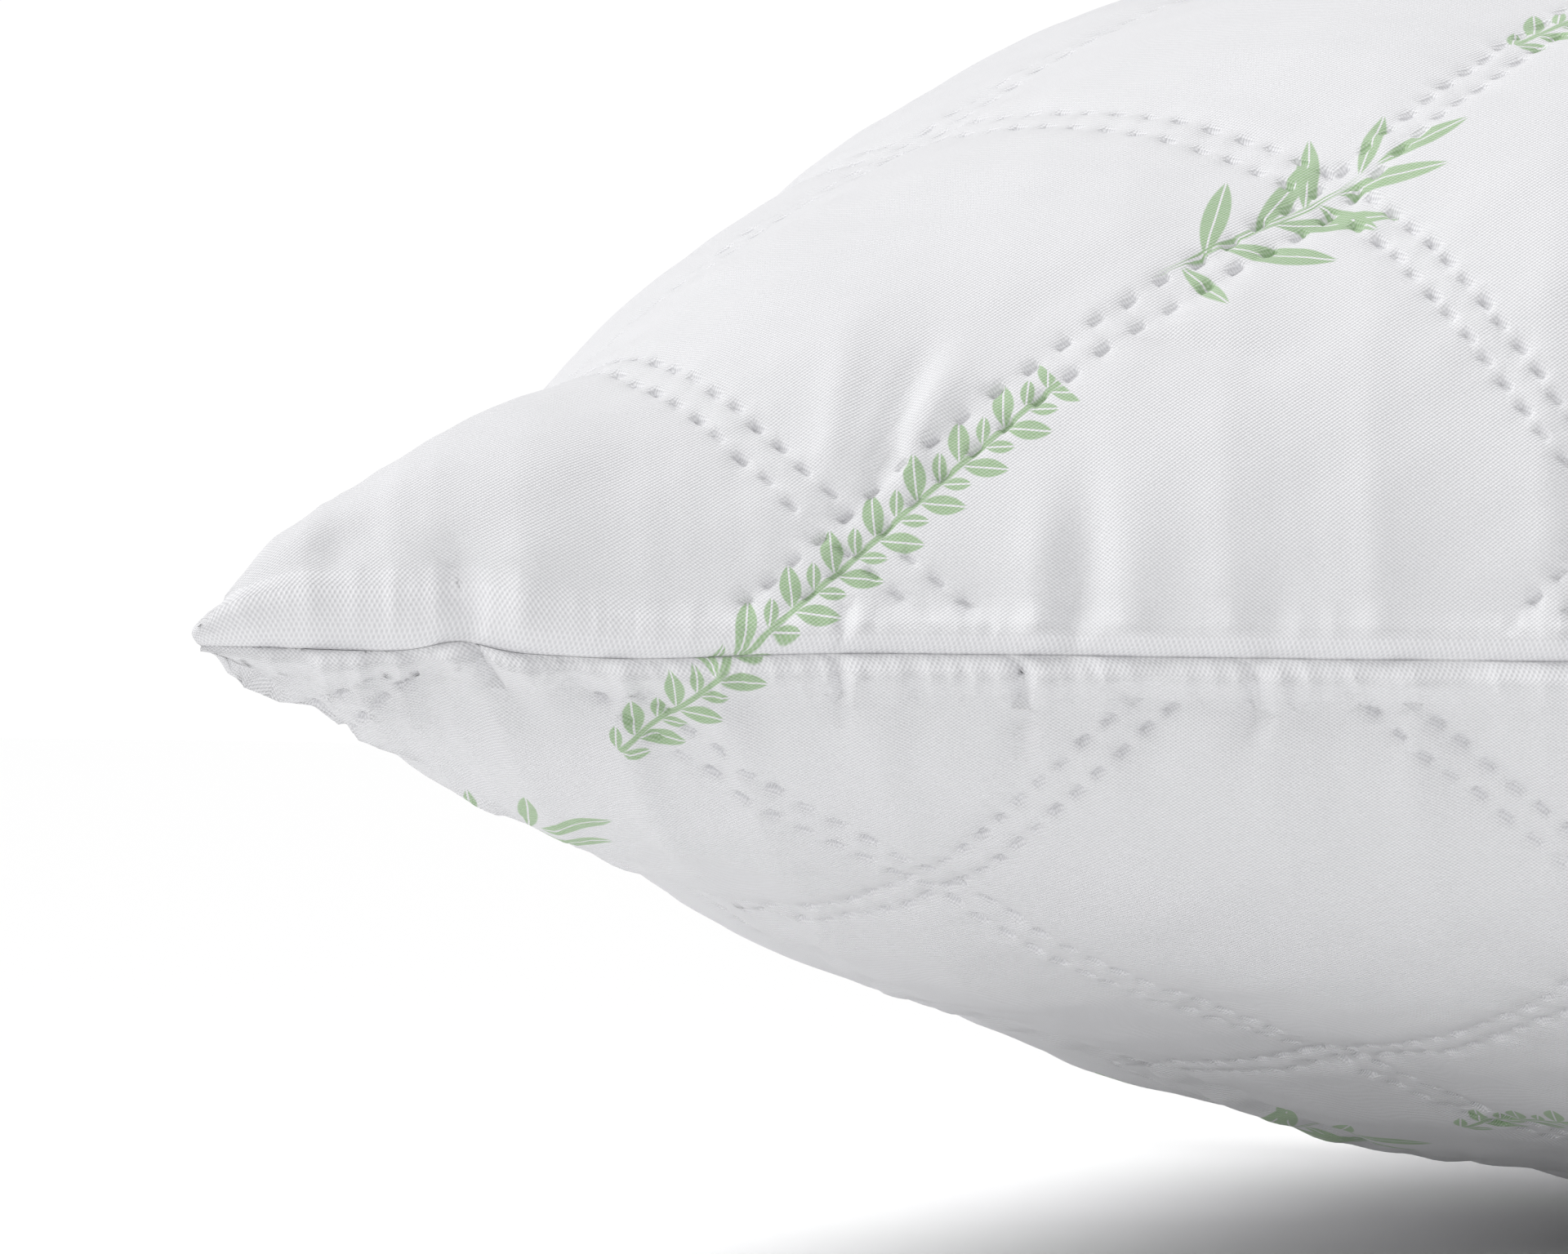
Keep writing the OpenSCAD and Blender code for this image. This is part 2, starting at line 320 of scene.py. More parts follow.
def welds(panel):
    """Centre and direction of every weld on the panel."""
    centres, turns = [], []
    for point, along, off in weld_lines(panel):
        n = int((CUT_L + CUT_W) * 1.5 / WELD_PITCH)
        p = point + np.outer(np.arange(-n, n) * WELD_PITCH + off, along)
        keep = (p[:, 0] > SEAM_CLEAR) & (p[:, 0] < CUT_L - SEAM_CLEAR)
        keep &= (p[:, 1] > SEAM_CLEAR) & (p[:, 1] < CUT_W - SEAM_CLEAR)
        centres.append(p[keep])
        turns.append(np.full(keep.sum(), math.copysign(1, along[1])))
    c, lean = np.concatenate(centres), np.concatenate(turns)
    # where pairs cross, a falling weld that would land on a rising one is left out
    rising, falling = c[lean > 0], c[lean < 0]
    falling = falling[nearest(falling, rising, WELD_REACH)[0] > CROSSING_GAP]
    c = np.concatenate([rising, falling])
    lean = np.concatenate([np.ones(len(rising)), -np.ones(len(falling))])
    c = c + np.stack(pulled(panel, c[:, 0], c[:, 1]), -1)
    # the cloth creeps a little under the welding wheel
    return c + np.random.default_rng(3).uniform(-0.22, 0.22, c.shape) * MM, lean


def nearest(points, targets, cell):
    """Distance to and index of the nearest target within one cell, for many points."""
    keys = {}
    tc = np.floor(targets / cell).astype(int)
    for n, k in enumerate(map(tuple, tc)):
        keys.setdefault(k, []).append(n)
    best = np.full(len(points), 1e9)
    index = np.full(len(points), -1)
    order = np.floor(points / cell).astype(int)
    groups = {}
    for n, k in enumerate(map(tuple, order)):
        groups.setdefault(k, []).append(n)
    for (i, j), rows in groups.items():
        near = [m for di in (-1, 0, 1) for dj in (-1, 0, 1) for m in keys.get((i + di, j + dj), ())]
        if not near:
            continue
        near, rows = np.array(near), np.array(rows)
        d = np.linalg.norm(points[rows][:, None] - targets[near][None], axis=-1)
        best[rows], index[rows] = d.min(1), near[d.argmin(1)]
    return best, index


def weld_ring(centre, lean, l, w, count):
    """Points round each weld, l and w beyond its centre."""
    a = np.arange(count) / count * 2 * math.pi
    # a squared-off oval
    x = np.sign(np.cos(a)) * np.abs(np.cos(a)) ** 0.7 * l
    y = np.sign(np.sin(a)) * np.abs(np.sin(a)) ** 0.7 * w
    along, side = row_ways(lean)
    p = centre[:, None] + x[None, :, None] * along[:, None] + y[None, :, None] * side[:, None]
    return p.reshape(-1, 2)


# ---------------------------------------------------------------- the cloth's mesh
NOSE = 5 * MM  # radius at which the seam turns each corner
NEAR_U, NEAR_V = 230 * MM, 190 * MM  # the finest cloth lies round the front left corner
NEAR_STEP, FAR_STEP = 1.9 * MM, 4.6 * MM  # between points of the open cloth
NOSE_STEP = 0.7 * MM  # between points round a corner
# rows of points along the seam: depth, step, and step of the extra points near the corner
SEAM_ROWS = (
    (0, 1.6, 0.8),
    (0.45, 1.6, 0.8),
    (1.0, 1.6, 0.8),
    (1.7, 1.6, 0.8),
    (2.6, 1.8, 1.0),
    (3.8, 2.0, 1.2),
    (5.4, 2.4, 1.5),
    (7.2, 3.0, 0),
)
OPEN_FROM = 7.6 * MM  # depth where the open cloth's points begin
# rings of points round a weld: half length, half width and number of points (2 lie on its middle line)
NEAR_RINGS = ((0.35, 0, 2), (0.85, 0.3, 8), (1.22, 0.68, 10), (1.7, 1.12, 10))
FAR_RINGS = ((0.45, 0, 2), (1.08, 0.52, 6), (1.7, 1.12, 6))
RINGS_CLEAR = 1.95 * MM  # no open cloth's point comes closer to a weld


def seam_depth(u, v):
    """Distance in from the seam, whose corners are turned round, and the way in over the cloth."""
    to_u, to_v = np.minimum(u, CUT_L - u), np.minimum(v, CUT_W - v)
    du, dv = np.maximum(NOSE - to_u, 0), np.maximum(NOSE - to_v, 0)
    reach = np.hypot(du, dv)
    depth = np.where(reach > 0, NOSE - reach, np.minimum(to_u, to_v))
    way = np.stack([du * np.sign(CUT_L / 2 - u), dv * np.sign(CUT_W / 2 - v)], -1)
    return depth, way / (reach[..., None] + 1e-9)


def deeper(points, depth):
    """The points that lie further in from the seam than a depth."""
    return points[seam_depth(points[:, 0], points[:, 1])[0] > depth]


def in_corner(u, v):
    """True where the seam is turning a corner."""
    to_u, to_v = np.minimum(u, CUT_L - u), np.minimum(v, CUT_W - v)
    return (to_u < NOSE - 0.05 * MM) & (to_v < NOSE - 0.05 * MM)


def hex_points(u0, u1, v0, v1, step):
    """Points of an even triangle net over a rectangle of cloth."""
    rows = np.arange(v0, v1, step * 0.866)
    out = []
    for n, v in enumerate(rows):
        u = np.arange(u0 + (step / 2 if n % 2 else 0), u1, step)
        out.append(np.stack([u, np.full_like(u, v)], -1))
    return np.concatenate(out)


def weld_dots(c, lean):
    """Rings of points on and round every weld."""
    near = (c[:, 0] < NEAR_U) & (c[:, 1] < NEAR_V)
    dots = []
    for part, rings in ((near, NEAR_RINGS), (~near, FAR_RINGS)):
        for l, w, count in rings:
            if count == 2:
                along, _ = row_ways(lean[part])
                dots += [c[part] + along * l * MM, c[part] - along * l * MM]
            else:
                dots.append(weld_ring(c[part], lean[part], l * MM, w * MM, count))
    return deeper(np.concatenate(dots), 6 * MM)


def seam_dots():
    """Rows of points along the straight seams, then round each corner."""
    rows = []
    for depth, step, near_step in SEAM_ROWS:
        n_u, n_v = round(CUT_L / (step * MM)), round(CUT_W / (step * MM))
        d = depth * MM
        u, v = np.linspace(d, CUT_L - d, n_u + 1), np.linspace(d, CUT_W - d, n_v + 1)
        for w in (d, CUT_W - d):
            rows.append(np.stack([u, np.full_like(u, w)], -1))
        for w in (d, CUT_L - d):
            rows.append(np.stack([np.full_like(v, w), v], -1)[1:-1])
        if near_step:
            u = np.linspace(d + 0.1 * MM, NEAR_U, round(NEAR_U / (near_step * MM)))
            rows.append(np.stack([u, np.full_like(u, d)], -1))
    kept = [deeper(r, -0.01 * MM) for r in rows]
    rows = [r[~in_corner(r[:, 0], r[:, 1])] for r in kept]
    for depth, _, _ in SEAM_ROWS:
        if depth * MM < NOSE:
            radius = NOSE - depth * MM
            turn = np.linspace(0, math.pi / 2, max(3, round(radius * 1.57 / NOSE_STEP) + 1))
            across, down = NOSE - radius * np.sin(turn), NOSE - radius * np.cos(turn)
            for uu in (across, CUT_L - across):
                for vv in (down, CUT_W - down):
                    rows.append(np.stack([uu, vv], -1))
    return np.concatenate(rows)


def cloth_points(panel):
    """Points for the panel's mesh: close together round each weld and by the seam."""
    c, lean = welds(panel)
    start = 7.5 * MM
    far_u, far_v = CUT_L - start, CUT_W - start
    fill = [
        hex_points(start, NEAR_U, start, NEAR_V, NEAR_STEP),
        hex_points(NEAR_U, far_u, start, far_v, FAR_STEP),
        hex_points(start, NEAR_U, NEAR_V, far_v, FAR_STEP),
    ]
    fill = np.concatenate(fill)
    gap, _ = nearest(fill, c, WELD_REACH)
    fill = deeper(fill[gap > RINGS_CLEAR], OPEN_FROM)
    return np.concatenate([seam_dots(), weld_dots(c, lean), fill]), c, lean


# ---------------------------------------------------------------- the cloth's relief
# how far along the front seam, how wide and how high it rises or sags
SEAM_SAGS = ((41, 5, 1.3), (66, 16, -0.9), (12, 9, 0.2))

# Folds by the near corner: from, to, half width and height, over the cloth from the corner.
FOLDS = {
    "top": (
        ((42, 0), (37, 10), 2.6, -0.9),
        ((48, 0), (50, 14), 3.5, 0.5),
        ((90.5, 0), (91.5, 14), 0.9, -0.55),
        ((93, 1), (95, 12), 1.4, 0.35),
        ((116, 0), (119, 24), 3.4, 0.7),
        ((121.5, 0), (125, 26), 2.8, -0.8),
        ((129, 1), (131, 22), 4.0, 0.6),
        ((147, 0), (149, 12), 3.0, -0.5),
        ((96, 24), (103, 48), 1.8, -0.7),
        ((99, 22), (108, 46), 2.0, 0.6),
        ((90, 26), (92, 50), 2.4, 0.5),
        ((132, 44), (150, 38), 2.2, -0.5),
        ((20, 6), (30, 16), 3.0, -0.4),
    ),
    "bottom": (
        ((41.5, 0), (47, 12), 1.2, -1.2),
        ((38, 0), (42, 10), 2.0, 0.8),
        ((47, 1), (54, 11), 2.4, 0.7),
        ((90.5, 0), (90, 12), 0.9, -0.7),
        ((93, 1), (92, 14), 1.6, 0.5),
        ((101, 2), (99, 22), 2.2, -0.5),
        ((115, 0), (113, 22), 1.3, -0.9),
        ((118, 1), (117, 20), 2.0, 0.7),
        ((131, 2), (130, 24), 2.6, -0.5),
        ((146, 0), (144, 15), 1.2, -0.8),
        ((149, 1), (148, 14), 1.8, 0.6),
        ((70, 1), (73, 16), 2.4, 0.6),
        ((77, 1), (79, 14), 1.8, -0.5),
    ),
}

def wrap(x, period):
    """A length folded back to half a period either side of 0."""
    return (x + period / 2) % period - period / 2


def smooth(x, low, high):
    """An eased step from 0 at low to 1 at high."""
    t = np.clip((x - low) / (high - low), 0, 1)
    return t * t * (3 - 2 * t)


def waves(x, y, scales, seed):
    """Soft uneven relief made of a few crossing waves. Each scale is a length and a height in millimetres."""
    pick = np.random.default_rng(seed)
    out = 0
    for length, height in scales:
        for _ in range(5):
            turn, start = pick.uniform(0, 2 * math.pi, 2)
            k = 2 * math.pi / (length * MM) * pick.uniform(0.7, 1.4)
            out = out + height / 5 * np.sin(k * (x * math.cos(turn) + y * math.sin(turn)) + start)
    return out


def seam_puckers(along, depth, seed, strong):
    """Small gathers that run in from the seam, close at the stitches and wider further in."""
    pick = np.random.default_rng(seed)
    out = 0
    # length along the seam, height, and how far in they fade
    for length, height, fade in ((3.6, 0.16, 4), (7.5, 0.26, 10), (17, 0.55, 24), (41, 0.9, 45)):
        phase = 0
        for _ in range(4):
            k = 2 * math.pi / (length * MM) * pick.uniform(0.22, 0.5)
            phase = phase + pick.uniform(0.5, 1.2) * np.sin(k * along + pick.uniform(0, 6.28))
        sharp = np.sin(2 * math.pi * along / (length * MM) + phase)
        sharp = 1 - 2 * np.abs(sharp) ** 0.8
        patch = 0.55 + 0.45 * np.sin(along / (31 * MM) + pick.uniform(0, 6.28))
        grow = 1 - np.exp(-depth / (1.2 * MM))
        out = out + strong * height * sharp * patch * grow * np.exp(-((depth / (fade * MM)) ** 1.3))
    return out


def quilting(panel, u, v, seed):
    """Height of the valleys along the paired rows, and of the cloth that crumples between them."""
    up, down = QUILT_START[panel.name]
    du, dv = pulled(panel, u, v)
    rise = wrap(u - du - v + dv - up, QUILT) / math.sqrt(2)
    fall = wrap(u - du + v - dv - down, QUILT) / math.sqrt(2)
    h = close = 0
    for d in (rise, fall):
        d = np.abs(d) / MM
        valley = 1.4 * np.exp(-((d / 17) ** 2))
        trough = 0.45 * np.exp(-((d / 4.6) ** 4))
        ridge = 0.25 * np.exp(-((d / 1.4) ** 2))
        h = h - valley - trough + ridge
        close = np.maximum(close, np.exp(-((d / 8) ** 2)))
    return h + 0.5 * close * waves(u, v, ((9, 0.6), (5.5, 0.4)), seed + 5)


def press_welds(h, u, v, c, lean):
    """Presses each weld into the cloth, with a slight rim round it."""
    _, which = nearest(np.stack([u, v], -1), c, WELD_REACH)
    hit = which >= 0
    rel = np.stack([u, v], -1)[hit] - c[which[hit]]
    ln = lean[which[hit]]
    # each weld bites a little differently
    bite = np.random.default_rng(8).uniform(0.6, 1.15, len(c))[which[hit]]
    p = np.abs(rel[:, 0] + ln * rel[:, 1]) / math.sqrt(2) / MM
    q = np.abs(-ln * rel[:, 0] + rel[:, 1]) / math.sqrt(2) / MM
    r = 0.35  # of the weld's corners
    half_l, half_w = WELD_L / MM / 2 - r, WELD_W / MM / 2 - r
    beyond = np.hypot(np.maximum(p - half_l, 0), np.maximum(q - half_w, 0)) - r
    dent = -0.8 * (1 - smooth(beyond, -0.25, 0.3)) - 0.2 * np.exp(-((np.clip(beyond, 0, 9) / 0.9) ** 2))
    pressed = h.copy()
    pressed[hit] = h[hit] + bite * dent + 0.14 * np.exp(-(((beyond - 0.75) / 0.4) ** 2))
    return pressed


def relief(panel, u, v, c, lean):
    """Height of the cloth above the smooth panel, in millimetres."""
    seed = 11 if panel.side > 0 else 23
    h = press_welds(quilting(panel, u, v, seed), u, v, c, lean)
    depth = np.clip(seam_depth(u, v)[0], 0, 1)
    along = np.where(np.minimum(v, CUT_W - v) <= np.minimum(u, CUT_L - u), u, v + 0.37)
    calm = smooth(depth, 0, 10 * MM)
    h = h + 0.9 * calm * waves(u, v, ((60, 1.0), (26, 0.5), (12, 0.22)), seed)
    h = h * smooth(depth, 0, 7 * MM)
    d = depth / MM
    corner = np.exp(-((np.hypot(u, v) / (60 * MM)) ** 2))
    strong = (0.85 - 0.6 * corner) if panel.side > 0 else (1.7 + 0.2 * corner)
    h = h + seam_puckers(along, depth, seed + 1, strong)
    h = h + 1.7 * folds(panel, u, v) * smooth(d, 0, 1.5)
    h = h + 0.5 * np.exp(-(((d - 2.6) / 1.6) ** 2))  # the roll of cloth beside the stitches
    # over the zip tapes the cloth lies smooth
    over = zip_span(v, 2, 12) * (u > CUT_L / 2) * (1 - smooth(CUT_L - u, 10 * MM, 20 * MM))
    return h * (1 - over) + np.maximum(h, 0) * 0.4 * over


def zip_span(v, start, end):
    """1 along the zip, fading to 0 between start and end, in millimetres past the tapes' ends."""
    low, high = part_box("zip_tape_top")
    half = (high.y - low.y) / 2 * CUT_W / (2 * HALF_W)
    return 1 - smooth(np.abs(v - CUT_W / 2), half + start * MM, half + end * MM)


def seam_shift(panel, u, v):
    """How the cloth turns in at the seam, how the seam wavers, and how the zip's mouth parts."""
    depth, way = seam_depth(u, v)
    here = TOP.dome(u / CUT_L, v / CUT_W)
    ahead = TOP.dome((u + way[:, 0] * 12 * MM) / CUT_L, (v + way[:, 1] * 12 * MM) / CUT_W)
    inward = (ahead - here)[:, :2]
    inward = inward / (np.linalg.norm(inward, axis=-1, keepdims=True) + 1e-9)
    turn_in = 2.6 * MM * np.exp(-((np.clip(depth, 0, 1) / (1.15 * MM)) ** 1.5))
    waver = 0.3 * waves(u, v, ((160, 1.0), (55, 0.7), (21, 0.3)), 5)
    front = np.exp(-((v / (30 * MM)) ** 2))
    for place, width, height in SEAM_SAGS:
        waver = waver + front * height * np.exp(-(((u / MM - place) / width) ** 2))
    waver = waver * MM * np.exp(-((depth / (16 * MM)) ** 2))
    to_u = np.minimum(u, CUT_L - u)
    at_zip = zip_span(v, -10, 1) * (u > CUT_L / 2)
    part = 4.4 * MM * at_zip * np.exp(-((to_u / (9 * MM)) ** 2))
    up = waver * (1 - at_zip) + panel.side * part
    if panel.side > 0:
        # the upper panel stands up round and full right behind each corner
        to_v = np.minimum(v, CUT_W - v)
        tip = np.hypot(to_u, to_v) / MM
        plump = smooth(tip, 1, 20) * np.exp(-((np.clip(tip - 30, 0, 999) / 34) ** 2))
        up = up + 5.0 * MM * plump * smooth(depth, 0, 5 * MM)
        turn_in = turn_in - 3.4 * MM * np.exp(-((tip / 15) ** 2) - ((depth / MM - 5.5) / 2.8) ** 2)
    return np.stack([inward[:, 0] * turn_in, inward[:, 1] * turn_in, up], -1)


def folds(panel, u, v):
    """Height of the single folds, in millimetres."""
    out = 0
    for (u0, v0), (u1, v1), half, height in FOLDS[panel.name]:
        along = np.array([u1 - u0, v1 - v0], float)
        length = np.hypot(*along)
        along /= length
        x, y = u / MM - u0, v / MM - v0
        share = (x * along[0] + y * along[1]) / length
        aside = y * along[0] - x * along[1]
        taper = smooth(share, -0.12, 0.12) * (1 - smooth(share, 0.45, 1.15))
        out = out + height * taper * np.exp(-((aside / (half * (0.7 + 0.6 * share))) ** 2))
    return out


def vertex_normals(p, tri):
    """The direction the cloth faces at each point."""
    n = np.zeros_like(p)
    face = np.cross(p[tri[:, 1]] - p[tri[:, 0]], p[tri[:, 2]] - p[tri[:, 0]])
    for k in range(3):
        np.add.at(n, tri[:, k], face)
    return n / (np.linalg.norm(n, axis=1, keepdims=True) + 1e-15)


FLOOR_SKIN = 1.2  # millimetres above the floor where the resting cloth starts to flatten


def sewn_panel(panel, grid, other):
    """The panel's mesh, laid on the blown shape and given its welds, seam and gathers."""
    uv, c, lean = cloth_points(panel)
    tri = geometry.delaunay_2d_cdt([Vector(p) for p in uv * 1000], [], [], 0, 1e-4)
    uv = np.array([tuple(p) for p in tri[0]]) / 1000
    tri = np.array([f for f in tri[2] if len(f) == 3])
    u, v = uv[:, 0], uv[:, 1]
    base = on_grid(grid, u / CUT_L, v / CUT_W)
    # at the stitches both panels share one line
    shared = (base + on_grid(other, u / CUT_L, v / CUT_W)) / 2
    shared[:, 2] = SEAM_Z
    meet = 1 - smooth(seam_depth(u, v)[0], 0, 1.8 * MM)[:, None]
    base = base * (1 - meet) + shared * meet
    normal = vertex_normals(base, tri) * panel.side
    if normal[:, 2].mean() * panel.side < 0:
        normal = -normal
    h = relief(panel, u, v, c, lean)
    p = base + normal * (h * MM)[:, None] + seam_shift(panel, u, v)
    below = np.clip(p[:, 2] / MM - FLOOR_SKIN, -8, 0)
    p[:, 2] = np.where(below < 0, FLOOR_SKIN * MM * np.exp(below / FLOOR_SKIN), p[:, 2])
    if panel.side < 0:
        tri = tri[:, ::-1]
    piece = new_piece(panel.name + "_panel", p.tolist(), tri.tolist())
    mesh = piece.data
    across = max(CUT_L, CUT_W)
    layer = mesh.uv_layers.new(name="OFBake")
    corner = np.zeros(len(mesh.loops), np.int32)
    mesh.loops.foreach_get("vertex_index", corner)
    layer.data.foreach_set("uv", (uv[corner] / across).astype(np.float32).ravel())
    mesh.update()
    return piece


# ---------------------------------------------------------------- materials
def paint(hex_colour):
    """An sRGB hex colour as linear RGBA."""
    parts = [int(hex_colour[i : i + 2], 16) / 255 for i in (1, 3, 5)]
    return [c / 12.92 if c <= 0.04045 else ((c + 0.055) / 1.055) ** 2.4 for c in parts] + [1]


def add(tree, kind, *values, out=0, inputs=None, **settings):
    """Adds a node, sets it, feeds its sockets in order or by name, and returns one output."""
    node = tree.nodes.new("ShaderNode" + kind)
    for name, value in settings.items():
        setattr(node, name, value)
    fed = [*zip(range(len(values)), values), *(inputs or {}).items()]
    for socket, value in fed:
        if value is None:
            continue
        if isinstance(value, bpy.types.NodeSocket):
            tree.links.new(value, node.inputs[socket])
        else:
            node.inputs[socket].default_value = value
    return node.outputs[out] if len(node.outputs) else None


def new_material(name):
    """An empty material and its node tree."""
    material = bpy.data.materials.new(name)
    material.use_nodes = True
    tree = material.node_tree
    tree.nodes.clear()
    return material, tree


def finish_material(tree, colour, rough, normal=None, metallic=0.0, sheen=0.0, ior=1.5):
    """Gives the tree its surface. 1.5 is the usual IOR, and polyester cloth is close to it."""
    shader = add(
        tree,
        "BsdfPrincipled",
        inputs={
            "Base Color": colour,
            "Roughness": rough,
            "Metallic": metallic,
            "IOR": ior,
            "Sheen Weight": sheen,
            "Sheen Roughness": 0.4,
            "Normal": normal,
        },
    )
    add(tree, "OutputMaterial", shader)


def mixed(tree, share, first, second):
    """From the first colour to the second. A colour is a hex string, linear RGBA or a socket."""
    pair = [paint(c) if isinstance(c, str) else c for c in (first, second)]
    return add(tree, "Mix", share, data_type="RGBA", out=2, inputs={6: pair[0], 7: pair[1]})


def cover(tree, edge, soft):
    """1 where edge, in millimetres, is above 0, soft over a small width."""
    return add(tree, "MapRange", edge, -soft, soft, 0.0, 1.0)


def turned(tree, place, at, turn):
    """Places seen from `at`, with the x axis turned by `turn` degrees."""
    way = (0, 0, math.radians(turn))
    return add(tree, "Mapping", place, (*at, 0), way, (1, 1, 1), vector_type="TEXTURE")


def leaf_cover(tree, place, at, turn, length, width):
    """A pointed leaf from its stalk end at `at`, turned by `turn` degrees, with a bare middle rib."""
    x = add(tree, "SeparateXYZ", turned(tree, place, at, turn))
    y = add(tree, "Math", x.node.outputs[1], operation="ABSOLUTE")
    back = add(tree, "Math", length, x, operation="SUBTRACT")
    swell = add(tree, "Math", x, back, operation="MULTIPLY")
    half = add(tree, "Math", swell, 2 * width / length**2, operation="MULTIPLY")
    rib = add(tree, "Math", y, 0.14, operation="GREATER_THAN")
    edge = add(tree, "Math", half, y, operation="SUBTRACT")
    return add(tree, "Math", cover(tree, edge, 0.12), rib, operation="MULTIPLY")


def half_drop(tree, x, y, step, side):
    """Repeats a motif every two steps, each row set over by one step."""
    row = add(tree, "Math", add(tree, "Math", y, step / 2, operation="ADD"), step, operation="SNAP")
    over = add(tree, "Math", x, row, operation="SUBTRACT")
    cell_x = add(tree, "Math", over, step, -step, operation="WRAP")
    off_row = add(tree, "Math", y, row, operation="SUBTRACT")
    cell_y = add(tree, "Math", off_row, side, operation="MULTIPLY")
    return add(tree, "CombineXYZ", cell_x, cell_y, 0.0)


def band_cover(tree, place, at, turn, length):
    """A straight band of small paired leaves along a stalk."""
    x = add(tree, "SeparateXYZ", turned(tree, place, at, turn))
    y = add(tree, "Math", x.node.outputs[1], operation="ABSOLUTE")
    step = add(tree, "Math", x, 3.9, -3.9, operation="WRAP")  # a pair of leaves every 7.8 mm
    stalk = cover(tree, add(tree, "Math", 0.42, y, operation="SUBTRACT"), 0.1)
    pair = add(tree, "CombineXYZ", step, y, 0.0)
    leaves = leaf_cover(tree, pair, (-3.0, 0.3), 50, 6.4, 2.9)
    small = leaf_cover(tree, pair, (1.0, 0.3), 44, 4.2, 1.9)
    thin = add(tree, "Math", small, stalk, operation="MAXIMUM")
    both = add(tree, "Math", leaves, thin, operation="MAXIMUM")
    off_middle = add(tree, "Math", x, operation="ABSOLUTE")
    ends = add(tree, "Math", length / 2, off_middle, operation="SUBTRACT")
    return add(tree, "Math", both, cover(tree, ends, 0.1), operation="MULTIPLY")


# stalk end, turn, length and width of each leaf and stem of the sprig, in millimetres and degrees
SPRIG = (
    ((-16.0, -11.0), 34, 30.0, 0.9),
    ((-9.5, -7.4), 82, 13.0, 3.0),
    ((-8.0, -5.6), -14, 14.0, 3.2),
    ((-4.6, -3.6), 62, 15.0, 2.6),
    ((-2.6, -2.0), -2, 14.5, 3.0),
    ((1.0, 0.4), 88, 12.0, 2.6),
    ((4.4, 2.6), 6, 13.0, 2.8),
    ((7.0, 4.6), 74, 10.5, 2.4),
    ((8.8, 5.8), 28, 12.0, 2.6),
    ((-12.0, -8.6), -48, 9.0, 2.2),
    ((2.4, 1.2), -40, 9.5, 2.2),
)
SPRIG_SIZE = 1.2
BAND_LEAN, BAND_L = 42, 60
WARP, WEFT = 0.7, 0.52  # millimetres to a pair of threads


def print_cover(tree, mm, panel):
    """Share of ink at places on the cloth: a band of leaves and a sprig, on crossings of the quilting."""
    up, down = QUILT_START[panel.name]
    cross = np.array([(up + down) / 2, (down - up) / 2]) / MM
    # the lower panel was cut out of step with the print
    band_at = cross + (np.array([6, 0]) if panel.side > 0 else np.array([-14, -46]))
    half = QUILT / 2 / MM
    sprig_at = band_at + half * np.array([panel.side, 1]) + (np.array([0, -2]) if panel.side > 0 else 0)
    motifs = []
    for at in (band_at, sprig_at):
        moved = add(tree, "VectorMath", mm, (*at, 0), operation="SUBTRACT")
        mx = add(tree, "SeparateXYZ", moved)
        motifs.append(half_drop(tree, mx, mx.node.outputs[1], half * 2, panel.side))
    printed = band_cover(tree, motifs[0], (0, 0), BAND_LEAN, BAND_L)
    k = SPRIG_SIZE
    for at, turn, length, width in SPRIG:
        leaf = leaf_cover(tree, motifs[1], (at[0] * k, at[1] * k), turn, length * k, width * k)
        printed = add(tree, "Math", printed, leaf, operation="MAXIMUM")
    return printed


def printed_microfibre(panel):
    """Polyester microfibre, woven plain, brushed, bleached and rotary printed in pale green.

    Dull and nearly white, with threads that show through painted shade in the weave's dips, a soft bloom at
    grazing light, and ink that thins on the thread tops and slubs and lies fuller in the dips: partly wear,
    partly painted shade.
    """
    material, tree = new_material("printed_microfibre_" + panel.name)
    across = max(CUT_L, CUT_W) / MM
    cloth = add(tree, "UVMap", uv_map="OFBake")
    mm = add(tree, "VectorMath", cloth, (across, across, 1), operation="MULTIPLY")
    x = add(tree, "SeparateXYZ", mm)
    y = x.node.outputs[1]
    # the real threads lie 0.31 and 0.22 mm apart, and are drawn a little coarser so that they show
    warp_turn = add(tree, "Math", x, 2 * math.pi / WARP, operation="MULTIPLY")
    weft_turn = add(tree, "Math", y, 2 * math.pi / WEFT, operation="MULTIPLY")
    warp = add(tree, "Math", warp_turn, operation="SINE")
    weft = add(tree, "Math", weft_turn, operation="SINE")
    weave = add(tree, "Math", warp, weft, operation="MULTIPLY")
    # slubs 2 mm long and 0.33 mm thick, and ink blotches 20 mm across
    slub_place = add(tree, "VectorMath", mm, (0.5, 3.0, 1), operation="MULTIPLY")
    slub = add(tree, "TexNoise", slub_place, inputs={"Scale": 1.0, "Detail": 3.0})
    mottle = add(tree, "TexNoise", mm, inputs={"Scale": 1 / 20, "Detail": 2.0})
    thread = add(tree, "MapRange", weave, -1.0, 1.0, 0.0, 1.0)
    # painted shade: the white is darker where the weave dips and lighter on the thread tops
    white = mixed(tree, thread, "#D9D9DC", "#F6F6F8")
    green = mixed(tree, mottle, "#7FA96B", "#9DC388")
    uneven = add(tree, "Math", thread, slub, operation="ADD")
    # painted shade in part: the ink is thinned on the thread tops and slubs and left fuller in the weave's
    # dips, partly as wear
    ink_wear_and_weave_shade = add(tree, "MapRange", uneven, 0.2, 1.4, 0.95, 0.62)
    ink = add(tree, "Math", print_cover(tree, mm, panel), ink_wear_and_weave_shade, operation="MULTIPLY")
    colour = mixed(tree, ink, white, green)
    height = add(tree, "Math", weave, slub, operation="ADD")
    normal = add(tree, "Bump", inputs={"Height": height, "Strength": 0.6, "Distance": 0.12 * MM})
    finish_material(tree, colour, 0.85, normal, sheen=0.25)
    return material


